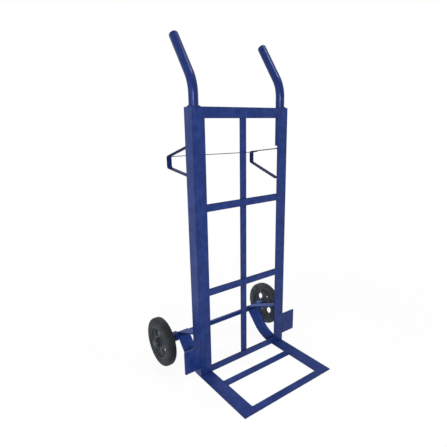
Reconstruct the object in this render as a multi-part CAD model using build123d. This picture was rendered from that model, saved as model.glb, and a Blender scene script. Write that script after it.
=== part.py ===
from build123d import *
from math import cos, radians, sin, tan
import os

# Upright two-wheeled hand truck of painted steel: two angle stiles with a lattice of flat bars,
# bent tube handles, a toe frame whose side flats sweep up to the axle, and solid-tyred wheels.
# Millimetres. +X is the right side seen from the front, +Y the back, +Z up, z = 0 the floor.
# The pieces are drawn with y = 0 on the load face, the front of the stiles.

# Stiles: rolled equal angle, corner at the front outside
frame_width = 395.0
frame_height = 917.0
angle_leg = 45.0
angle_wall = 4.0
angle_root_radius = 5.0
angle_toe_radius = 2.0

# Lattice of flat bars; heights are those of the bars' middles
bar_width = 25.0
bar_thickness = 4.0
top_bar_width = 34.0
upper_bar_height = 605.5
lower_bar_height = 313.5
bottom_bar_height = 19.5
centre_bar_width = 25.0
centre_bar_inset = 3.0

# Handles: tube welded into the corner of each stile, leaning back above it; each was cut by hand
tube_diameter = 30.0
tube_wall = 2.0
handle_overlap = 129.0
handle_bend_rise = 71.0
handle_bend_radius = 110.0
handle_lean = 35.0
left_handle_length = 181.0
right_handle_length = 174.0
handle_cap_thickness = 6.0
handle_cap_edge = 5.0

# Rear rests: a bent flat behind each stile, welded on at its own slant, and the rod between them;
# drops are those of the upper and the lower corner of the flat's middle line below the stile's top
rest_width = 18.0
rest_thickness = 3.0
rest_reach = 178.0
rest_bend_radius = 8.0
left_rest_back_drop = (154.5, 193.5)
left_rest_foot_drop = (113.0, 212.0)
right_rest_back_drop = (156.5, 198.0)
right_rest_foot_drop = (140.0, 248.0)
rest_foot_gap = 2.0
tie_rod_diameter = 3.0
tie_rod_bend_radius = 6.0
tie_rod_setback = 10.0
tie_rod_tail = 24.0

# Toe frame and runners: flats on the floor that curve up to the axle behind the stiles
toe_length = 243.0
runner_width = 50.0
runner_thickness = 4.0
runner_slope = 47.0
runner_bend_radius = 122.0
runner_axle_offset = 5.0
toe_bar_width = 25.0
toe_middle_setback = 64.5

# Struts from the stiles down to the axle, and the plates in front of the wheels
strut_width = 46.0
strut_thickness = 4.0
strut_slope = 22.5
strut_axle_offset = 9.6
strut_front_gap = 1.0
guard_width = 62.5
guard_height = 86.5
left_guard_bottom = 38.0
right_guard_bottom = 35.0
guard_thickness = 4.0
guard_corner_radius = 4.0

# Axle and what holds the wheels on it
axle_diameter = 20.0
axle_setback = 164.0
collar_diameter = 36.0
collar_edge = 1.0
washer_diameter = 36.0
washer_thickness = 2.5
cap_diameter = 30.0
cap_length = 12.0
cap_wall = 3.0
cap_dome_radius = 6.0

# Wheels: solid tyre on a cast centre with oval holes; the hub stands out further on one side,
# and both wheels are fitted the same way round
wheel_diameter = 180.0
wheel_track = 512.0
tyre_width = 34.0
tyre_shoulder_radius = 11.0
tyre_crown = 1.2
rim_diameter = 124.0
rim_width = 30.0
rim_wall = 6.0
rim_rib_width = 10.0
rim_rib_height = 3.0
web_thickness = 13.0
web_root_radius = 1.5
hub_diameter = 36.0
hub_length = 46.0
hub_offset = 6.5
hub_edge = 1.5
bush_wall = 3.0
hole_count = 4
hole_margin = 7.0
hole_stretch = 16.0
hole_edge = 1.0
left_wheel_turn = 45.0
right_wheel_turn = 41.0

# Clearances
weld_gap = 0.05
rod_seat_gap = 0.2
running_clearance = 0.05
side_clearance = 0.3

# Shared positions
stile_x = frame_width / 2
flange_x = stile_x - angle_leg
runner_x = stile_x - runner_width
axle_height = wheel_diameter / 2
wheel_x = wheel_track / 2
tube_radius = tube_diameter / 2
axle_radius = axle_diameter / 2


def bent(section, points, radius):
    """Sweep a section along straight runs joined by bends, keeping its x along the axle."""
    path = FilletPolyline(*points, radius=radius)
    start = Plane(origin=path @ 0, x_dir=(1, 0, 0), z_dir=path % 0)
    return sweep(start * section, path=path)


def turned(profile):
    """Revolve a profile, drawn as (along the axle, radius), about the axle's direction."""
    return revolve(profile, axis=Axis.X)


def block(x0, x1, y0, y1, z0, z1):
    """Plain cut length of bar between two opposite corners."""
    middle = Pos((x0 + x1) / 2, (y0 + y1) / 2, (z0 + z1) / 2)
    return middle * Box(x1 - x0, y1 - y0, z1 - z0)


def mirrored(solid):
    """The left-hand piece that matches a right-hand one."""
    return mirror(solid, about=Plane.YZ)


parts = {}

# Axle: round bar right across, its ends inside the caps
hub_outer_x = wheel_x + hub_length / 2
washer_x = hub_outer_x + side_clearance
cap_x = washer_x + washer_thickness
axle_end_x = cap_x + cap_length - cap_wall
axle_bar = Cylinder(axle_radius, 2 * axle_end_x, rotation=(0, 90, 0))
axle = Pos(0, axle_setback, axle_height) * axle_bar
parts["axle"] = axle

# Runner: flat on the floor from the toe's tip, swept up behind the stile and coped onto the axle
slope = radians(runner_slope)
runner_mid = runner_thickness / 2
runner_end = (
    axle_setback - runner_axle_offset * sin(slope),
    axle_height + runner_axle_offset * cos(slope),
)
runner_corner_y = runner_end[0] - (runner_end[1] - runner_mid) / tan(slope)
runner_mid_x = stile_x - runner_width / 2
runner_path = [
    (runner_mid_x, -toe_length, runner_mid),
    (runner_mid_x, runner_corner_y, runner_mid),
    (runner_mid_x, *runner_end),
]
runner = bent(Rectangle(runner_width, runner_thickness), runner_path, runner_bend_radius) - axle
parts["right_runner"] = runner
parts["left_runner"] = mirrored(runner)

# Toe cross bars, level with the runners and welded between them
toe_bar_edges = {
    "toe_middle_bar": -toe_middle_setback - toe_bar_width,
    "toe_front_bar": -toe_length,
}
for name, y in toe_bar_edges.items():
    parts[name] = block(-runner_x, runner_x, y, y + toe_bar_width, 0, runner_thickness)

# Stile: rolled angle with a root fillet and rounded toes, its foot coped to the rising runner
angle_outline = Polyline(
    (stile_x, 0),
    (stile_x, angle_leg),
    (stile_x - angle_wall, angle_leg),
    (stile_x - angle_wall, angle_wall),
    (flange_x, angle_wall),
    (flange_x, 0),
    close=True,
)
angle = make_face(angle_outline)
root = angle.vertices().sort_by_distance((stile_x - angle_wall, angle_wall))[0]
angle = fillet(root, angle_root_radius)
side_toe = angle.vertices().sort_by_distance((stile_x - angle_wall, angle_leg))[0]
angle = fillet(side_toe, angle_toe_radius)
front_toe = angle.vertices().sort_by_distance((flange_x, angle_wall))[0]
angle = fillet(front_toe, angle_toe_radius)
stile_length = frame_height - runner_thickness
stile = extrude(Pos(0, 0, runner_thickness) * angle, amount=stile_length, dir=(0, 0, 1)) - runner
parts["right_stile"] = stile
parts["left_stile"] = mirrored(stile)

# Cross bars between the stiles' flanges, level with the load face
crossbars = {
    "top_crossbar": (frame_height - top_bar_width, frame_height),
    "upper_crossbar": (upper_bar_height - bar_width / 2, upper_bar_height + bar_width / 2),
    "lower_crossbar": (lower_bar_height - bar_width / 2, lower_bar_height + bar_width / 2),
    "bottom_crossbar": (bottom_bar_height - bar_width / 2, bottom_bar_height + bar_width / 2),
}
for name, (low, high) in crossbars.items():
    parts[name] = block(-flange_x, flange_x, 0, bar_thickness, low, high)

# Centre bar, welded flat against the backs of the cross bars
centre_half = centre_bar_width / 2
centre_low = crossbars["bottom_crossbar"][0] + centre_bar_inset
centre_high = frame_height - centre_bar_inset
centre_back = bar_thickness + bar_thickness
parts["centre_bar"] = block(
    -centre_half, centre_half, bar_thickness, centre_back, centre_low, centre_high
)

# Handles: tube in the stile's corner, bent back above it and closed by a welded cap
lean = radians(handle_lean)
tube_offset = angle_wall + tube_radius + weld_gap
handle_corner_z = frame_height + handle_bend_rise
handle_axis = (0, sin(lean), cos(lean))
tube_section = Circle(tube_radius) - Circle(tube_radius - tube_wall)
cap_disc = extrude(Circle(tube_radius), amount=handle_cap_thickness)
cap_disc = fillet(cap_disc.edges().group_by(Axis.Z)[-1], handle_cap_edge)
for side, x_sign, length in (("left", -1, left_handle_length), ("right", 1, right_handle_length)):
    x = x_sign * (stile_x - tube_offset)
    tube_run = length - handle_cap_thickness
    handle_end = (x, tube_offset + tube_run * sin(lean), handle_corner_z + tube_run * cos(lean))
    handle_path = [
        (x, tube_offset, frame_height - handle_overlap),
        (x, tube_offset, handle_corner_z),
        handle_end,
    ]
    parts[f"{side}_handle_tube"] = bent(tube_section, handle_path, handle_bend_radius)
    cap_plane = Plane(origin=handle_end, x_dir=(1, 0, 0), z_dir=handle_axis)
    parts[f"{side}_handle_cap"] = cap_plane * cap_disc

# Rear rests: one bent flat each, standing on the inside of the stile's side flange
rest_section = Rectangle(rest_width, rest_thickness)
rest_x = stile_x - angle_wall - rest_width / 2
rest_back_y = rest_reach + rest_thickness / 2
rest_foot_y = tube_offset + tube_radius + rest_foot_gap
rod_depth = rest_thickness / 2 + rod_seat_gap + tie_rod_diameter / 2
rests = {
    "left": (-rest_x, left_rest_back_drop, left_rest_foot_drop),
    "right": (rest_x, right_rest_back_drop, right_rest_foot_drop),
}
rod_bends = {}
for side, (x, back_drop, foot_drop) in rests.items():
    upper_foot = Vector(x, rest_foot_y, frame_height - foot_drop[0])
    upper_bend = Vector(x, rest_back_y, frame_height - back_drop[0])
    lower_bend = Vector(x, rest_back_y, frame_height - back_drop[1])
    lower_foot = Vector(x, rest_foot_y, frame_height - foot_drop[1])
    rest_path = [upper_foot, upper_bend, lower_bend, lower_foot]
    parts[f"{side}_rear_rest"] = bent(rest_section, rest_path, rest_bend_radius)
    # The rod's tail runs forward from its own bend, along the underside of the upper leg
    leg = (upper_foot - upper_bend).normalized()
    under = leg.rotate(Axis.X, 90)
    rod_bend = upper_bend + leg * tie_rod_setback + under * rod_depth
    rod_bends[side] = (rod_bend, rod_bend + leg * tie_rod_tail)

# Tie rod: round wire across from rest to rest, its ends bent forward and welded under the legs
left_bend, left_tail = rod_bends["left"]
right_bend, right_tail = rod_bends["right"]
rod_path = [left_tail, left_bend, right_bend, right_tail]
parts["rest_tie_rod"] = bent(Circle(tie_rod_diameter / 2), rod_path, tie_rod_bend_radius)

# Axle strut: flat inside the stile's angle, straight down to the axle and coped over its top
strut_turn = radians(strut_slope)
strut_end = (
    axle_setback + strut_axle_offset * sin(strut_turn),
    axle_height + strut_axle_offset * cos(strut_turn),
)
strut_front = angle_wall + angle_root_radius + strut_front_gap
strut_length = (strut_end[0] - strut_front) / cos(strut_turn)
strut_mid_x = stile_x - angle_wall - strut_width / 2
strut_start = (strut_mid_x, strut_front, strut_end[1] + strut_length * sin(strut_turn))
strut_direction = (0, cos(strut_turn), -sin(strut_turn))
strut_plane = Plane(origin=strut_start, x_dir=(1, 0, 0), z_dir=strut_direction)
strut_bar = extrude(Rectangle(strut_width, strut_thickness), amount=strut_length)
strut = strut_plane * strut_bar - axle
parts["right_axle_strut"] = strut
parts["left_axle_strut"] = mirrored(strut)

# Wheel guards: plates welded to the stiles' outer corners, in front of the wheels
for side, bottom in (("left", left_guard_bottom), ("right", right_guard_bottom)):
    guard = block(stile_x, stile_x + guard_width, 0, guard_thickness, bottom, bottom + guard_height)
    outer_edges = guard.edges().filter_by(Axis.Y).group_by(Axis.X)[-1]
    guard = fillet(outer_edges, guard_corner_radius)
    parts[f"{side}_wheel_guard"] = guard if side == "right" else mirrored(guard)

# Wheel centre: hub, web and rim turned in one, then pierced by oval holes with eased edges
rim_radius = rim_diameter / 2
rim_inner = rim_radius - rim_wall
hub_radius = hub_diameter / 2
bush_radius = axle_radius + running_clearance + bush_wall
hub_profile = Rectangle(hub_length, hub_radius - bush_radius)
hub_profile = Pos(hub_offset, (bush_radius + hub_radius) / 2) * hub_profile
web_profile = Pos(0, (hub_radius + rim_inner) / 2) * Rectangle(web_thickness, rim_inner - hub_radius)
rim_profile = Pos(0, (rim_inner + rim_radius) / 2) * Rectangle(rim_width, rim_wall)
rib_profile = Pos(0, rim_radius + rim_rib_height / 2) * Rectangle(rim_rib_width, rim_rib_height)
centre_profile = hub_profile + web_profile + rim_profile + rib_profile
for side in (-1, 1):
    for radius in (hub_radius, rim_inner):
        place = (side * web_thickness / 2, radius)
        corner = centre_profile.vertices().sort_by_distance(place)[0]
        centre_profile = fillet(corner, web_root_radius)
    hub_end = hub_offset + side * hub_length / 2
    nose = centre_profile.vertices().sort_by_distance((hub_end, hub_radius))[0]
    centre_profile = fillet(nose, hub_edge)
wheel_centre = turned(centre_profile)

hole_width = rim_inner - hub_radius - 2 * hole_margin
hole_pitch_radius = (rim_inner + hub_radius) / 2
hole_outline = SlotCenterToCenter(hole_stretch, hole_width, rotation=90)
hole_plug = extrude(hole_outline, amount=web_thickness, both=True)
hole_places = PolarLocations(hole_pitch_radius, hole_count)
holes = [Plane.YZ * (place * hole_plug) for place in hole_places]
solid_centre = wheel_centre
wheel_centre = solid_centre - holes
wheel_centre = fillet(new_edges(solid_centre, *holes, combined=wheel_centre), hole_edge)

# Tyre: solid rubber moulded over the rim's rib, with a crowned tread and round shoulders
tyre_half = tyre_width / 2
tyre_radius = wheel_diameter / 2
shoulder_z = tyre_radius - tyre_crown
tread = ThreePointArc((tyre_half, shoulder_z), (0, tyre_radius), (-tyre_half, shoulder_z))
sides = Polyline(
    (-tyre_half, shoulder_z),
    (-tyre_half, rim_radius),
    (-rim_rib_width / 2, rim_radius),
    (-rim_rib_width / 2, rim_radius + rim_rib_height),
    (rim_rib_width / 2, rim_radius + rim_rib_height),
    (rim_rib_width / 2, rim_radius),
    (tyre_half, rim_radius),
    (tyre_half, shoulder_z),
)
tyre_profile = make_face([tread, sides])
for side in (-1, 1):
    shoulder = tyre_profile.vertices().sort_by_distance((side * tyre_half, shoulder_z))[0]
    tyre_profile = fillet(shoulder, tyre_shoulder_radius)
tyre = turned(tyre_profile)

# Hub bush: plain sleeve pressed into the hub, running on the axle
bush_bore = axle_radius + running_clearance
bush = turned(Pos(hub_offset, bush_bore + bush_wall / 2) * Rectangle(hub_length, bush_wall))

wheels = (("left", -wheel_x, left_wheel_turn), ("right", wheel_x, right_wheel_turn))
for side, hub_x, turn in wheels:
    wheel_place = Pos(hub_x - hub_offset, axle_setback, axle_height)
    parts[f"{side}_tyre"] = wheel_place * tyre
    parts[f"{side}_wheel_centre"] = wheel_place * Rot(turn, 0, 0) * wheel_centre
    parts[f"{side}_hub_bush"] = wheel_place * bush

# Thrust collar from runner to hub, and the washer and push-on cap that hold each wheel on the axle
hub_inner_x = wheel_x - hub_length / 2
collar_x = stile_x + weld_gap
collar_width = hub_inner_x - side_clearance - collar_x
collar_wall = collar_diameter / 2 - axle_radius
collar = turned(Pos(collar_width / 2, axle_radius + collar_wall / 2) * Rectangle(collar_width, collar_wall))
collar_rims = collar.edges().filter_by(GeomType.CIRCLE).group_by(SortBy.RADIUS)[-1]
collar = chamfer(collar_rims, collar_edge)

washer_wall = washer_diameter / 2 - axle_radius
washer = turned(
    Pos(washer_thickness / 2, axle_radius + washer_wall / 2) * Rectangle(washer_thickness, washer_wall)
)

cap_outline = Polyline(
    (0, axle_radius),
    (0, cap_diameter / 2),
    (cap_length, cap_diameter / 2),
    (cap_length, 0),
    (cap_length - cap_wall, 0),
    (cap_length - cap_wall, axle_radius),
    close=True,
)
cap_profile = make_face(cap_outline)
cap_corner = cap_profile.vertices().sort_by_distance((cap_length, cap_diameter / 2))[0]
axle_cap = turned(fillet(cap_corner, cap_dome_radius))

axle_fittings = {
    "thrust_collar": (collar_x, collar),
    "axle_washer": (washer_x, washer),
    "axle_cap": (cap_x, axle_cap),
}
for name, (x, solid) in axle_fittings.items():
    fitting = Pos(x, axle_setback, axle_height) * solid
    parts[f"right_{name}"] = fitting
    parts[f"left_{name}"] = mirrored(fitting)

# The origin is on the floor under the middle of the whole truck
middle_y = (axle_setback + wheel_diameter / 2 - toe_length) / 2
os.makedirs("parts", exist_ok=True)
for name, solid in parts.items():
    export_step(Pos(0, -middle_y, 0) * solid, f"parts/{name}.step")
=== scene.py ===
import bpy
from math import cos, pi, radians, sin, tan
from mathutils import Matrix, Vector


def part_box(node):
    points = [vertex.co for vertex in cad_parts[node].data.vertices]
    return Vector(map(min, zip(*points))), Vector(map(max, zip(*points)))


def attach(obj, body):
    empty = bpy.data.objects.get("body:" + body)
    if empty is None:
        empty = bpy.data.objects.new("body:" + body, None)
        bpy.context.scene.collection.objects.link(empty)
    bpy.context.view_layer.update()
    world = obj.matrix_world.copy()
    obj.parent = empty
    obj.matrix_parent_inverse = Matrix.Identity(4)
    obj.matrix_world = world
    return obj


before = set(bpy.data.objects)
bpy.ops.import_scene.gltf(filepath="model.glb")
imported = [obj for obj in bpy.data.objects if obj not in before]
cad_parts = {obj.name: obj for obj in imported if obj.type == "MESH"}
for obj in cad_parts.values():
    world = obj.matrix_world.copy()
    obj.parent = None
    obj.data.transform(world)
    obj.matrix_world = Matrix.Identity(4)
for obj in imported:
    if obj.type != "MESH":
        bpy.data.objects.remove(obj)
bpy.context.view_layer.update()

# Back frame: two stiles of rolled angle, four flat cross bars, a centre bar behind them and a guard
# plate in front of each wheel. Mild steel, welded, wiped and sprayed with one coat of deep blue
# machinery enamel.


def linear(hex_colour):
    """Linear RGBA from an sRGB hex colour."""
    parts = [int(hex_colour[i:i + 2], 16) / 255 for i in (1, 3, 5)]
    return [c / 12.92 if c <= 0.04045 else ((c + 0.055) / 1.055) ** 2.4 for c in parts] + [1.0]


def feed(tree, node, inputs):
    """Set a node's inputs; each is a value, an output, or a node that gives its first output in use."""
    for socket, value in inputs.items():
        if isinstance(value, bpy.types.Node):
            value = next(output for output in value.outputs if output.enabled)
        if isinstance(value, bpy.types.NodeSocket):
            tree.links.new(value, node.inputs[socket])
        else:
            node.inputs[socket].default_value = value


def add(tree, kind, inputs=None, **settings):
    """New node with its settings and inputs."""
    made = tree.nodes.new(kind)
    for name, value in settings.items():
        setattr(made, name, value)
    feed(tree, made, inputs or {})
    return made


def new_finish(name):
    """New material with its node tree, its shader and the place on the piece in metres."""
    finish = bpy.data.materials.new(name)
    finish.use_nodes = True
    tree = finish.node_tree
    return finish, tree, tree.nodes["Principled BSDF"], add(tree, "ShaderNodeTexCoord").outputs["Object"]


def dress(finish, *pieces):
    """Give CAD pieces a finish; a name that is no node stands for its left and right ones."""
    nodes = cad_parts
    for piece in pieces:
        for name in [piece] if piece in nodes else [f"left_{piece}", f"right_{piece}"]:
            nodes[name].data.materials.clear()
            nodes[name].data.materials.append(finish)


# The coat's own colour. A noise's scale is its features per metre: the gun's passes drift over about
# 110 mm, with clouds of 30 mm where the coat is thin and spots of 14 mm where it is thick.
def sprayed_colour(tree, place, spots, blues, grime):
    """Uneven blue between two, paler in the thin clouds, with a share of grease and dirt rubbed in."""
    darker, lighter, thinned = [linear(blue) for blue in blues]
    drift = add(tree, "ShaderNodeTexNoise", {"Vector": place, "Scale": 9.0, "Detail": 3.0})
    clouds = add(tree, "ShaderNodeTexNoise", {"Vector": place, "Scale": 33.0, "Detail": 3.0})
    coat = add(tree, "ShaderNodeMix", {"Factor": drift, "A": darker, "B": lighter}, data_type="RGBA")
    thin = add(tree, "ShaderNodeMapRange", {
        "Value": clouds, "From Min": 0.38, "From Max": 0.66, "To Max": 0.6})
    clouded = add(tree, "ShaderNodeMix", {"Factor": thin, "A": coat, "B": thinned}, data_type="RGBA")
    thick = add(tree, "ShaderNodeMapRange", {
        "Value": spots, "From Min": 0.42, "From Max": 0.68, "To Max": 0.4})
    spotted = add(tree, "ShaderNodeMix", {
        "Factor": thick, "A": clouded, "B": linear("#10225A")}, data_type="RGBA")
    dirt = add(tree, "ShaderNodeMapRange", {
        "Value": clouds, "From Min": 0.3, "From Max": 0.7, "To Min": 0.8 * grime, "To Max": 1.2 * grime})
    return add(tree, "ShaderNodeMix", {
        "Factor": dirt, "A": spotted, "B": linear("#0B1A4A")}, data_type="RGBA")


# Painted light on the coat near the axle. Upward faces above the axle are painted paler, as a painted
# highlight, on the right more than on the left. Behind the stiles, from the axle's top down, the coat is
# painted brighter, as painted fill light in the shade of the struts.
stile_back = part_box("right_stile")[1][1]
axle_low, axle_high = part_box("axle")
axle_middle = (Vector(axle_low) + Vector(axle_high)) / 2
# Painted highlight: upward faces in this band above the axle are mixed towards a pale blue
highlight_start = axle_middle.z + 0.006
highlight_end = axle_middle.z + 0.1
# Painted fill light: behind the stiles, from here down, the coat is mixed towards a brighter blue where the
# struts shade it
fill_light_start = axle_middle.z + 0.006
fill_light_end = axle_middle.z - 0.004


def colour_with_axle_light(tree, place, lift, coat):
    """The coat with a painted highlight above the axle and painted fill light below it."""
    spot = add(tree, "ShaderNodeSeparateXYZ", {"Vector": place}).outputs
    over_axle = add(tree, "ShaderNodeMapRange", {
        "Value": spot["Z"], "From Min": highlight_start - 0.003, "From Max": highlight_start + 0.003})
    under_top = add(tree, "ShaderNodeMapRange", {
        "Value": spot["Z"], "From Min": highlight_end + 0.004, "From Max": highlight_end - 0.004})
    in_highlight_band = add(tree, "ShaderNodeMath", {0: over_axle, 1: under_top}, operation="MULTIPLY")
    upward = add(tree, "ShaderNodeMapRange", {"Value": lift, "From Min": 0.8, "From Max": 0.9})
    highlight_side = add(tree, "ShaderNodeMapRange", {
        "Value": spot["X"], "From Min": -0.15, "From Max": 0.15, "To Min": 0.2, "To Max": 0.5})
    upward_highlight = add(tree, "ShaderNodeMath", {0: upward, 1: highlight_side}, operation="MULTIPLY")
    rub_and_highlight = add(tree, "ShaderNodeMath", {0: in_highlight_band, 1: upward_highlight}, operation="MULTIPLY")
    # Painted highlight: pale blue on upward faces above the axle, stronger on the right
    highlighted = add(tree, "ShaderNodeMix", {
        "Factor": rub_and_highlight, "A": coat, "B": linear("#6F82BC")}, data_type="RGBA")
    behind = add(tree, "ShaderNodeMapRange", {
        "Value": spot["Y"], "From Min": stile_back - 0.0035, "From Max": stile_back + 0.0105})
    below = add(tree, "ShaderNodeMapRange", {
        "Value": spot["Z"], "From Min": fill_light_start, "From Max": fill_light_end, "To Max": 0.7})
    painted_fill_light = add(tree, "ShaderNodeMath", {0: behind, 1: below}, operation="MULTIPLY")
    # Painted fill light: a brighter blue behind the stiles under the struts, where they cast shade
    return add(tree, "ShaderNodeMix", {
        "Factor": painted_fill_light, "A": highlighted, "B": linear("#314A92")}, data_type="RGBA")


# The outer 5 mm of each face, where a rounding of that size would tilt it, is darker: partly the wet coat
# thinning where it pulls back from a cut edge, and partly painted shade, which also falls in the inner
# corners where parts meet. The edges are also chipped to grey primer in flakes of about 6 mm.
def edge_shaded_colour(tree, place, facing, coat):
    """The coat with painted shade along its edges and in its joints, and chipped edges."""
    rounding = add(tree, "ShaderNodeBevel", {"Radius": 0.005}, samples=4)
    tilt = add(tree, "ShaderNodeVectorMath", {0: rounding, 1: facing}, operation="DOT_PRODUCT")
    edge = add(tree, "ShaderNodeMapRange", {"Value": tilt, "From Min": 0.995, "From Max": 0.88})
    # Painted shade: up to 65 % dark navy along the edges and in the joints between parts
    edge_shade = add(tree, "ShaderNodeMath", {0: edge, 1: 0.65}, operation="MULTIPLY")
    shade_edged = add(tree, "ShaderNodeMix", {
        "Factor": edge_shade, "A": coat, "B": linear("#0C1738")}, data_type="RGBA")
    flakes = add(tree, "ShaderNodeTexNoise", {
        "Vector": place, "Scale": 160.0, "Detail": 5.0, "Roughness": 0.7})
    flaked = add(tree, "ShaderNodeMapRange", {"Value": flakes, "From Min": 0.63, "From Max": 0.67})
    chip = add(tree, "ShaderNodeMath", {0: edge, 1: flaked}, operation="MULTIPLY")
    return add(tree, "ShaderNodeMix", {
        "Factor": chip, "A": shade_edged, "B": linear("#4A4D55")}, data_type="RGBA")


# The whole finish: satin gloss over a faint orange peel, duller in thick spots and under the dust on
# upward faces, and broken up at a slant. The peel is 2 mm from crest to crest, drawn at 4 mm to show.
def sprayed_enamel(name, blues, gloss_level, gloss_tint, smoothest, grime):
    """Machinery enamel with its blues, its gloss, its lowest roughness and its share of dirt."""
    finish, tree, skin, place = new_finish(name)
    facing = add(tree, "ShaderNodeNewGeometry").outputs["Normal"]
    lift = add(tree, "ShaderNodeSeparateXYZ", {"Vector": facing}).outputs["Z"]
    spots = add(tree, "ShaderNodeTexNoise", {"Vector": place, "Scale": 70.0, "Detail": 4.0})
    flat_top = add(tree, "ShaderNodeMapRange", {
        "Value": lift, "From Min": 0.6, "From Max": 1.0, "To Max": 0.06})
    dust = add(tree, "ShaderNodeMath", {0: flat_top, 1: spots}, operation="MULTIPLY")
    coat = sprayed_colour(tree, place, spots, blues, grime)
    dusty = add(tree, "ShaderNodeMix", {
        "Factor": dust, "A": coat, "B": linear("#8A8E98")}, data_type="RGBA")
    colour = edge_shaded_colour(tree, place, facing, colour_with_axle_light(tree, place, lift, dusty))
    spotty = add(tree, "ShaderNodeMapRange", {
        "Value": spots, "To Min": smoothest, "To Max": smoothest + 0.1})
    dull = add(tree, "ShaderNodeMath", {0: spotty, 1: dust}, operation="ADD")
    slant = add(tree, "ShaderNodeLayerWeight", {"Blend": 0.5}).outputs["Facing"]
    skimming = add(tree, "ShaderNodeMath", {0: slant, 1: 3.0}, operation="POWER")
    broken = add(tree, "ShaderNodeMath", {0: skimming, 1: 0.6, 2: dull}, operation="MULTIPLY_ADD")
    peel = add(tree, "ShaderNodeTexNoise", {"Vector": place, "Scale": 250.0, "Detail": 2.0})
    eased = add(tree, "ShaderNodeBevel", {"Radius": 0.001}, samples=4)
    bump = add(tree, "ShaderNodeBump", {
        "Strength": 0.15, "Distance": 0.0004, "Height": peel, "Normal": eased})
    feed(tree, skin, {
        "Base Color": colour, "Roughness": broken, "Normal": bump, "IOR": 1.48,
        "Specular IOR Level": gloss_level, "Specular Tint": linear(gloss_tint)})
    return finish


frame_blues = ("#152964", "#1E326C", "#2B3F7D")
enamel = sprayed_enamel(
    "blue_sprayed_enamel", frame_blues,
    gloss_level=0.16, gloss_tint="#F4F6FF", smoothest=0.21, grime=0.0)
dress(enamel, "top_crossbar", "upper_crossbar", "lower_crossbar", "bottom_crossbar", "centre_bar")
dress(enamel, "stile", "wheel_guard")

# Handles: round tube welded into the corner of each stile and bent back above it, closed by a welded
# disc. The same enamel, polished by hands to a bluish gloss and darkened by what they leave on it.
handled_enamel = sprayed_enamel(
    "blue_enamel_polished_by_hands", frame_blues,
    gloss_level=0.26, gloss_tint="#AEBDF5", smoothest=0.16, grime=0.45)
dress(handled_enamel, "handle_tube", "handle_cap")

# Toe, runners and struts: flats that lie on the floor under the load and sweep up behind the stiles to
# the axle, which the struts tie back to the stiles. Enamel of a bluer batch, dulled by loads and boots.
toe_blues = ("#142A6B", "#1D3373", "#2A4085")
trodden_enamel = sprayed_enamel(
    "blue_enamel_dulled_by_loads", toe_blues,
    gloss_level=0.09, gloss_tint="#F4F6FF", smoothest=0.25, grime=0.0)
dress(trodden_enamel, "toe_middle_bar", "toe_front_bar", "runner", "axle_strut")

# Rear rests: a bent flat behind each stile, on which the truck lies when it is laid back. The frame's
# enamel, with dirt from the ground worked into it.
grimed_enamel = sprayed_enamel(
    "blue_enamel_grimed_on_the_ground", frame_blues,
    gloss_level=0.09, gloss_tint="#F4F6FF", smoothest=0.28, grime=0.7)
dress(grimed_enamel, "rear_rest")

# Axle and thrust collars: a round bar across under the struts, with a sleeve from runner to hub on
# each side. The frame's enamel, dark with grease from the hubs.
greasy_enamel = sprayed_enamel(
    "blue_enamel_greasy_at_axle", frame_blues,
    gloss_level=0.09, gloss_tint="#F4F6FF", smoothest=0.28, grime=0.4)
dress(greasy_enamel, "axle", "thrust_collar")

# Weld beads: short hand-laid runs of ripples where the bars, tubes and plates meet, painted with the
# frame. A seam is a bead's half width and the points it runs through, in millimetres on the right-hand
# side: x from the middle, y behind the load face, z above the floor.
load_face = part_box("right_stile")[0][1]


def corners(node):
    """A node's lowest and highest corners in the seams' millimetres."""
    return [1000 * (Vector(corner) - Vector((0, load_face, 0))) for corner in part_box(node)]


stile_low, stile_high = corners("right_stile")
centre_high = corners("centre_bar")[1]
cap_low, cap_high = corners("right_handle_cap")
strut_low, strut_high = corners("right_axle_strut")
bar_back = corners("top_crossbar")[1].y
both_sides, centre_line, left_only, right_only = [], [], [], []

# Cross bars: a butt weld up each end, and where the centre bar crosses, a fillet up each of its edges and
# one along each edge of the bar, save the outermost two, past its ends; its top end has one too
centre_run = 10.0
bar_edges = []
for bar in ("top", "upper", "lower", "bottom"):
    low, high = corners(f"{bar}_crossbar")
    end_y = bar_back + 0.4
    both_sides.append((2.2, [(high.x, end_y, low.z + 2), (high.x, end_y, high.z - 2)]))
    edge_x, edge_y = centre_high.x + 0.3, bar_back + 0.6
    both_sides.append((1.8, [(edge_x, edge_y, low.z + 3), (edge_x, edge_y, high.z - 4)]))
    bar_edges += [high.z + 0.5, low.z - 0.5]
centre_seams = [(bar_back - 0.6, z) for z in bar_edges[1:-1]] + [(bar_back + 1.0, centre_high.z + 0.4)]
for y, z in centre_seams:
    centre_line.append((1.8, [(-centre_run, y, z), (centre_run, y, z)]))

# Handle tube: stitches up both flanges of the stile, runs over its top edges and one under the tube.
# The runs' points are along a flange from the tube, out from its face and up
flange_face = strut_high.x
tube_radius = (cap_high.x - cap_low.x) / 2
tube_x, tube_y = flange_face - tube_radius, bar_back + tube_radius
tube_foot = corners("right_handle_tube")[0].z
for rise, length in ((6, 28), (58, 30), (102, 25)):
    low, high = tube_foot + rise, tube_foot + rise + length
    for x, y in ((tube_x - 8.9, bar_back + 1.4), (flange_face - 1.4, tube_y + 8.8)):
        both_sides.append((2.4, [(x, y, low), (x, y, high)]))
front_run = [(-13.5, 2.2, 0.0), (-6.5, 0.6, 0.8), (0.0, -0.2, 1.2), (6.5, 0.6, 0.8), (11.5, 2.4, 0.2)]
side_run = [(-10, 0.1, 0.2), (-5, 0.9, 1.4), (0, 1.1, 2.0), (5, 0.9, 1.4), (10, 0.1, 0.2)]
foot_run = [(-7.5, 2.6, -0.4), (0.0, 0.8, -0.8), (7.5, 2.6, -0.4)]
tube_top = stile_high.z
both_sides.append((3.2, [(tube_x + along, bar_back + out, tube_top + up) for along, out, up in front_run]))
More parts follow.
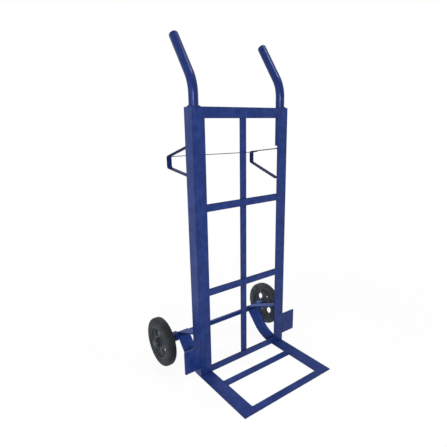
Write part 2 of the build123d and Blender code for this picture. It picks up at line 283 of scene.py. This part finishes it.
both_sides.append((3.4, [(flange_face + out, tube_y + along, tube_top + up) for along, out, up in side_run]))
both_sides.append((2.0, [(tube_x + along, bar_back + out, tube_foot + up) for along, out, up in foot_run]))

# Stile's foot on the runner, in front and behind, and the inside corners of the toe
foot_z = stile_low.z + 0.6
for y, last_x in ((-0.6, stile_high.x - 2.5), (bar_back + 0.6, flange_face - 6.5)):
    both_sides.append((2.0, [(stile_low.x + 2.5, y, foot_z), (last_x, y, foot_z)]))
toe_x = corners("right_runner")[0].x - 0.5
middle_low, middle_high = corners("toe_middle_bar")
front_high = corners("toe_front_bar")[1]
for y in (middle_high.y + 0.5, middle_low.y - 0.5, front_high.y + 0.5):
    both_sides.append((1.7, [(toe_x, y, front_high.z - 1.9), (toe_x, y, front_high.z - 0.6)]))

# Strut along the stile's side flange, above and below, both flats along the axle, and the collar behind
# and below them. The middle of the strut passes 10.4 mm above the axle's and rises forward at 22.5 degrees
axle_y, axle_z = 1000 * (axle_middle.y - load_face), 1000 * axle_middle.z
axle_radius = 1000 * (axle_high[2] - axle_low[2]) / 2
strut_slope = tan(radians(22.5))
for side in (-2.6, 2.6):
    strut_seam = []
    for y in (13, stile_high.y - 2):
        strut_seam.append((flange_face - 0.5, y, axle_z + 10.4 + (axle_y - y) * strut_slope + side))
    both_sides.append((2.0, strut_seam))
for turn, reach in ((63.4, 10.7), (115.2, 9.4), (177.3, 10.7), (212.1, 11.1)):
    y, z = axle_y + reach * cos(radians(turn)), axle_z + reach * sin(radians(turn))
    both_sides.append((2.2, [(strut_low.x + 2, y, z), (strut_high.x - 1.5, y, z)]))
collar_reach = axle_radius + 1.2
collar_run = []
for turn in range(-110, 45, 11):
    y, z = axle_y + collar_reach * cos(radians(turn)), axle_z + collar_reach * sin(radians(turn))
    collar_run.append((stile_high.x - 0.5, y, z))
both_sides.append((1.6, collar_run))

# Guards, rests and the rod's tails sit differently on the two sides. A rest's heights are those of its
# upper and lower corner at the back, and of the feet of its two legs
rest_back_y, rest_foot_y = 179.5, 36.0
rest_middle_x = flange_face - 9.0
rest_heights = {"left": ((762.5, 723.5), (804.0, 705.0)), "right": ((760.5, 719.0), (777.0, 669.0))}
for seams, side, x_sign in ((left_only, "left", -1), (right_only, "right", 1)):
    guard_low, guard_high = corners(f"{side}_wheel_guard")
    guard_x, guard_y = x_sign * (stile_high.x + 0.9), bar_back + 0.8
    seams.append((2.2, [(guard_x, guard_y, guard_low.z + 4), (guard_x, guard_y, guard_high.z - 3.5)]))
    leg_x = x_sign * (flange_face - 0.6)
    legs = list(zip(*rest_heights[side]))
    for back_z, leg_z in legs:
        slope = (back_z - leg_z) / (rest_back_y - rest_foot_y)
        for up in (-1.9, 1.9):
            seams.append((1.6, [(leg_x, y, leg_z + (y - rest_foot_y) * slope + up) for y in (37, 44)]))
    upper_z, leg_z = legs[0]
    slope = (upper_z - leg_z) / (rest_back_y - rest_foot_y)
    for out in (-1.7, 1.7):
        rod_x = x_sign * (rest_middle_x + out)
        seams.append((1.1, [(rod_x, y, upper_z + (y - rest_back_y) * slope - 2.0) for y in (160, 148)]))

seam_mesh = bpy.data.meshes.new("weld_seams")
points, edges, sizes = [], [], []
mirrored = [(size, [(-x, y, z) for x, y, z in run]) for size, run in both_sides]
for size, run in both_sides + mirrored + centre_line + left_only + right_only:
    first = len(points)
    points += [(x / 1000, y / 1000 + load_face, z / 1000) for x, y, z in run]
    edges += [(first + i, first + i + 1) for i in range(len(run) - 1)]
    sizes += [size / 1000] * len(run)
seam_mesh.from_pydata(points, edges, [])
seam_mesh.attributes.new("bead_size", "FLOAT", "POINT").data.foreach_set("value", sizes)
welds = bpy.data.objects.new("weld_beads", seam_mesh)
bpy.context.scene.collection.objects.link(welds)

# Each ripple is a drop of metal, flattened along the seam and a little larger or smaller than the last
ripples = bpy.data.node_groups.new("bead_ripples", "GeometryNodeTree")
ripples.interface.new_socket("Seams", in_out="INPUT", socket_type="NodeSocketGeometry")
ripples.interface.new_socket("Beads", in_out="OUTPUT", socket_type="NodeSocketGeometry")
bead_inputs = {}
for name, kind, value in (
    ("Ripple pitch", "NodeSocketFloat", 0.0022),
    ("Smallest ripple", "NodeSocketFloat", 0.85),
    ("Largest ripple", "NodeSocketFloat", 1.2),
    ("Ripple length", "NodeSocketFloat", 0.75),
    ("Finish", "NodeSocketMaterial", enamel),
):
    socket = ripples.interface.new_socket(name, in_out="INPUT", socket_type=kind)
    bead_inputs[socket.identifier] = value
given = add(ripples, "NodeGroupInput").outputs
line = add(ripples, "GeometryNodeMeshToCurve", {"Mesh": given["Seams"]})
stops = add(ripples, "GeometryNodeResampleCurve", {
    "Curve": line, "Length": given["Ripple pitch"]}, mode="LENGTH")
along = add(ripples, "GeometryNodeInputTangent")
turn = add(ripples, "FunctionNodeAlignRotationToVector", {"Vector": along}, axis="Z")
bead_size = add(ripples, "GeometryNodeInputNamedAttribute", {"Name": "bead_size"}, data_type="FLOAT")
unevenness = add(ripples, "FunctionNodeRandomValue", {
    "Min": given["Smallest ripple"], "Max": given["Largest ripple"], "Seed": 7}, data_type="FLOAT")
spread = add(ripples, "ShaderNodeMath", {0: bead_size, 1: unevenness}, operation="MULTIPLY")
squashed = add(ripples, "ShaderNodeCombineXYZ", {"X": 1.0, "Y": 1.0, "Z": given["Ripple length"]})
scale = add(ripples, "ShaderNodeVectorMath", {0: squashed, "Scale": spread}, operation="SCALE")
drop = add(ripples, "GeometryNodeMeshIcoSphere", {"Radius": 1.0, "Subdivisions": 2})
placed = add(ripples, "GeometryNodeInstanceOnPoints", {
    "Points": stops, "Instance": drop, "Rotation": turn, "Scale": scale})
solid = add(ripples, "GeometryNodeRealizeInstances", {"Geometry": placed})
smooth = add(ripples, "GeometryNodeSetShadeSmooth", {"Geometry": solid})
painted = add(ripples, "GeometryNodeSetMaterial", {"Geometry": smooth, "Material": given["Finish"]})
add(ripples, "NodeGroupOutput", {"Beads": painted})
beading = welds.modifiers.new("beads", "NODES")
beading.node_group = ripples
for identifier, value in bead_inputs.items():
    beading[identifier] = value
bpy.context.view_layer.update()
bead_mesh = bpy.data.meshes.new_from_object(welds.evaluated_get(bpy.context.evaluated_depsgraph_get()))
welds.modifiers.clear()
welds.data = bead_mesh
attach(welds, "frame")

# Tie rod: thin hard-drawn wire from rest to rest, its ends welded under their upper legs. Galvanised
# and left unpainted, it has weathered to a dull grey with faint crystals of zinc about 2.5 mm across.
zinc, tree, skin, place = new_finish("weathered_galvanised_wire")
crystals = add(tree, "ShaderNodeTexVoronoi", {"Vector": place, "Scale": 400.0})
grey = add(tree, "ShaderNodeMix", {
    "Factor": crystals, "A": linear("#515458"), "B": linear("#6E7175")}, data_type="RGBA")
dullness = add(tree, "ShaderNodeMapRange", {"Value": crystals, "To Min": 0.42, "To Max": 0.6})
feed(tree, skin, {"Base Color": grey, "Roughness": dullness, "Metallic": 1.0})
dress(zinc, "rest_tie_rod")

# Tyres: solid black rubber moulded onto the rims, rubbed dark on the tread and dusty on the side walls,
# most of all on those towards the frame. Fine mould rings 3 mm apart run round the side walls.
ring_pitch = 0.003
tyre_radius = axle_middle.z
rubber, tree, skin, place = new_finish("solid_tyre_rubber")
from_axle = add(tree, "ShaderNodeMapping", {"Vector": place, "Location": -axle_middle})
spoke = add(tree, "ShaderNodeVectorMath", {0: from_axle, 1: (0.0, 1.0, 1.0)}, operation="MULTIPLY")
radius = add(tree, "ShaderNodeVectorMath", {0: spoke}, operation="LENGTH")
grain = add(tree, "ShaderNodeTexNoise", {"Vector": place, "Scale": 55.0, "Detail": 6.0, "Roughness": 0.65})
body = add(tree, "ShaderNodeMix", {
    "Factor": grain, "A": linear("#13171C"), "B": linear("#20252B")}, data_type="RGBA")
# A wall faces the frame where its normal points back at the middle plane; dust lies in 25 mm patches
facing = add(tree, "ShaderNodeNewGeometry").outputs["Normal"]
outward = add(tree, "ShaderNodeVectorMath", {0: facing, 1: place}, operation="MULTIPLY")
sideways = add(tree, "ShaderNodeSeparateXYZ", {"Vector": outward}).outputs["X"]
unwiped = add(tree, "ShaderNodeMapRange", {
    "Value": sideways, "From Min": -0.02, "From Max": -0.12, "To Min": 0.25, "To Max": 0.7})
patches = add(tree, "ShaderNodeTexNoise", {"Vector": place, "Scale": 40.0, "Detail": 4.0})
caked = add(tree, "ShaderNodeMapRange", {
    "Value": patches, "From Min": 0.4, "From Max": 0.65, "To Max": unwiped})
dusted = add(tree, "ShaderNodeMix", {
    "Factor": caked, "A": body, "B": linear("#485055")}, data_type="RGBA")
tread = add(tree, "ShaderNodeMapRange", {
    "Value": radius, "From Min": tyre_radius - 0.007, "From Max": tyre_radius - 0.0005, "To Max": 1.4})
scuff = add(tree, "ShaderNodeMath", {0: tread, 1: grain}, operation="MULTIPLY")
scuffed = add(tree, "ShaderNodeMix", {
    "Factor": scuff, "A": dusted, "B": linear("#0F1216")}, data_type="RGBA")
rings = add(tree, "ShaderNodeMath", {0: radius, 1: 2 * pi / ring_pitch}, operation="MULTIPLY")
wave = add(tree, "ShaderNodeMath", {0: rings}, operation="SINE")
relief = add(tree, "ShaderNodeMath", {0: wave, 1: 0.35, 2: grain}, operation="MULTIPLY_ADD")
bump = add(tree, "ShaderNodeBump", {"Strength": 0.5, "Distance": 0.0004, "Height": relief})
feed(tree, skin, {
    "Base Color": scuffed, "Roughness": 0.72, "Normal": bump, "IOR": 1.52, "Specular IOR Level": 0.25})
dress(rubber, "tyre")

# Wheel centres: grey-iron castings with a hub, a web pierced by four oval holes and a rim. Dipped in
# black paint, dirty in patches of about 30 mm, with the sand's grain of 2 mm showing through.
casting, tree, skin, place = new_finish("black_dipped_casting")
sand = add(tree, "ShaderNodeTexNoise", {"Vector": place, "Scale": 420.0, "Detail": 3.0})
dirt = add(tree, "ShaderNodeTexNoise", {"Vector": place, "Scale": 30.0, "Detail": 4.0})
black = add(tree, "ShaderNodeMix", {
    "Factor": dirt, "A": linear("#2C3137"), "B": linear("#3F464D")}, data_type="RGBA")
dip = add(tree, "ShaderNodeMapRange", {"Value": dirt, "To Min": 0.42, "To Max": 0.7})
bump = add(tree, "ShaderNodeBump", {"Strength": 0.4, "Distance": 0.0004, "Height": sand})
feed(tree, skin, {"Base Color": black, "Roughness": dip, "Normal": bump, "Specular IOR Level": 0.25})
dress(casting, "wheel_centre")

# Hub bushes: turned bronze sleeves pressed into the hubs, running on the axle. Oil has darkened them
# in stains of about 10 mm.
bronze, tree, skin, place = new_finish("oiled_bronze")
stain = add(tree, "ShaderNodeTexNoise", {"Vector": place, "Scale": 90.0, "Detail": 3.0})
tone = add(tree, "ShaderNodeMix", {
    "Factor": stain, "A": linear("#5A3F22"), "B": linear("#8C6A3C")}, data_type="RGBA")
feed(tree, skin, {"Base Color": tone, "Roughness": 0.38, "Metallic": 1.0})
dress(bronze, "hub_bush")

# Axle washers: punched steel rings outside the hubs, blackened in oil and rubbed in spots of about
# 8 mm where the hubs run against them.
blackened, tree, skin, place = new_finish("blackened_steel")
rub_and_highlight = add(tree, "ShaderNodeTexNoise", {"Vector": place, "Scale": 120.0, "Detail": 3.0})
oxide = add(tree, "ShaderNodeMix", {
    "Factor": rub_and_highlight, "A": linear("#2B2D30"), "B": linear("#4A4C50")}, data_type="RGBA")
feed(tree, skin, {"Base Color": oxide, "Roughness": 0.5, "Metallic": 1.0})
dress(blackened, "axle_washer")

# Axle caps: moulded black polythene, pushed onto the axle's ends to keep the wheels on. The mould's
# spark-worn face leaves a fine grain, drawn at 1.7 mm so that it shows.
plastic, tree, skin, place = new_finish("black_cap_polythene")
spark = add(tree, "ShaderNodeTexNoise", {"Vector": place, "Scale": 600.0, "Detail": 2.0})
shade = add(tree, "ShaderNodeMix", {
    "Factor": spark, "A": linear("#1C1D1F"), "B": linear("#26282A")}, data_type="RGBA")
bump = add(tree, "ShaderNodeBump", {"Strength": 0.3, "Distance": 0.0002, "Height": spark})
feed(tree, skin, {"Base Color": shade, "Roughness": 0.55, "Normal": bump})
dress(plastic, "axle_cap")

# Studio floor: matt white paper under the truck, seen as plain white with the truck's soft shadow,
# which fades out between 0.7 and 1.6 m from the middle.
floor_reach = 30.0
floor_corners = [(x * floor_reach, y * floor_reach, 0.0) for x, y in ((-1, -1), (1, -1), (1, 1), (-1, 1))]
floor_mesh = bpy.data.meshes.new("studio_floor")
floor_mesh.from_pydata(floor_corners, [], [(0, 1, 2, 3)])
floor = bpy.data.objects.new("studio_floor", floor_mesh)
bpy.context.scene.collection.objects.link(floor)


def seen_directly(tree):
    """1 for what the camera sees straight, in a reflection or through glass, and 0 for other light."""
    path = add(tree, "ShaderNodeLightPath").outputs
    mirrored_too = add(tree, "ShaderNodeMath", {
        0: path["Is Camera Ray"], 1: path["Is Glossy Ray"]}, operation="MAXIMUM")
    return add(tree, "ShaderNodeMath", {
        0: mirrored_too, 1: path["Is Transmission Ray"]}, operation="MAXIMUM")


paper = bpy.data.materials.new("white_floor")
paper.use_nodes = True
tree = paper.node_tree
tree.nodes.clear()
place = add(tree, "ShaderNodeTexCoord").outputs["Object"]
away = add(tree, "ShaderNodeVectorMath", {0: place}, operation="LENGTH")
fade = add(tree, "ShaderNodeMapRange", {
    "Value": away, "From Min": 0.7, "From Max": 1.6, "To Min": 0.92, "To Max": 1.0})
share = add(tree, "ShaderNodeMath", {0: seen_directly(tree), 1: fade}, operation="MULTIPLY")
matt = add(tree, "ShaderNodeBsdfDiffuse", {"Color": linear("#FFFFFF")})
white = add(tree, "ShaderNodeEmission", {"Color": linear("#FFFFFF"), "Strength": 1.0})
both = add(tree, "ShaderNodeMixShader", {0: share, 1: matt, 2: white})
add(tree, "ShaderNodeOutputMaterial", {"Surface": both})
floor_mesh.materials.append(paper)

# Studio surround: white where it is seen, and a third as strong where it only lights the truck, so
# that the softboxes shape it.
world = bpy.data.worlds.new("white_surround")
bpy.context.scene.world = world
world.use_nodes = True
tree = world.node_tree
tree.nodes.clear()
level = add(tree, "ShaderNodeMapRange", {"Value": seen_directly(tree), "To Min": 0.33, "To Max": 1.0})
sky = add(tree, "ShaderNodeBackground", {"Color": linear("#FFFFFF"), "Strength": level})
add(tree, "ShaderNodeOutputWorld", {"Surface": sky})

# Softboxes: a small one behind and over the camera that draws the streaks on the tubes, a large one on
# the left, and two that light the tops and the back. All point at the middle of the truck.
truck_middle = Vector((0.0, 0.0, 0.5))
for name, spot, watts, width in (
    ("front_softbox", (-1.45, -1.80, 1.17), 30, (0.30, 0.30)),
    ("left_softbox", (-2.90, -0.60, 1.10), 26, (1.8, 2.0)),
    ("top_softbox", (0.55, -0.76, 2.95), 19, (0.50, 0.50)),
    ("back_softbox", (0.40, 2.30, 2.30), 28, (1.0, 1.0)),
):
    lamp = bpy.data.lights.new(name, "AREA")
    lamp.energy = watts
    lamp.shape = "RECTANGLE"
    lamp.size, lamp.size_y = width
    softbox = bpy.data.objects.new(name, lamp)
    aim = (Vector(spot) - truck_middle).to_track_quat("Z", "Y")
    softbox.matrix_world = Matrix.Translation(spot) @ aim.to_matrix().to_4x4()
    softbox.visible_camera = False
    bpy.context.scene.collection.objects.link(softbox)

# Camera: three quarters as high as the truck, to the left of the toe, turned to the right, tipped down
# and leaning by a degree, with the focal length fitted to the photograph in its own pixels.
photo_width = 447
focal_length = 376.283
heading = radians(35.916)
dip_angle = radians(14.437)
lean = radians(-0.998)
camera = bpy.data.cameras.new("photo_camera")
camera.sensor_width = 36.0
camera.lens = camera.sensor_width * focal_length / photo_width
view = bpy.data.objects.new("photo_camera", camera)
bpy.context.scene.collection.objects.link(view)
turned = Matrix.Rotation(-heading, 4, "Z") @ Matrix.Rotation(pi / 2 - dip_angle, 4, "X")
view.matrix_world = (
    Matrix.Translation((-0.8014, -0.9886, 0.8576)) @ turned @ Matrix.Rotation(lean, 4, "Z"))
bpy.context.scene.camera = view
bpy.context.scene.view_settings.view_transform = "Standard"
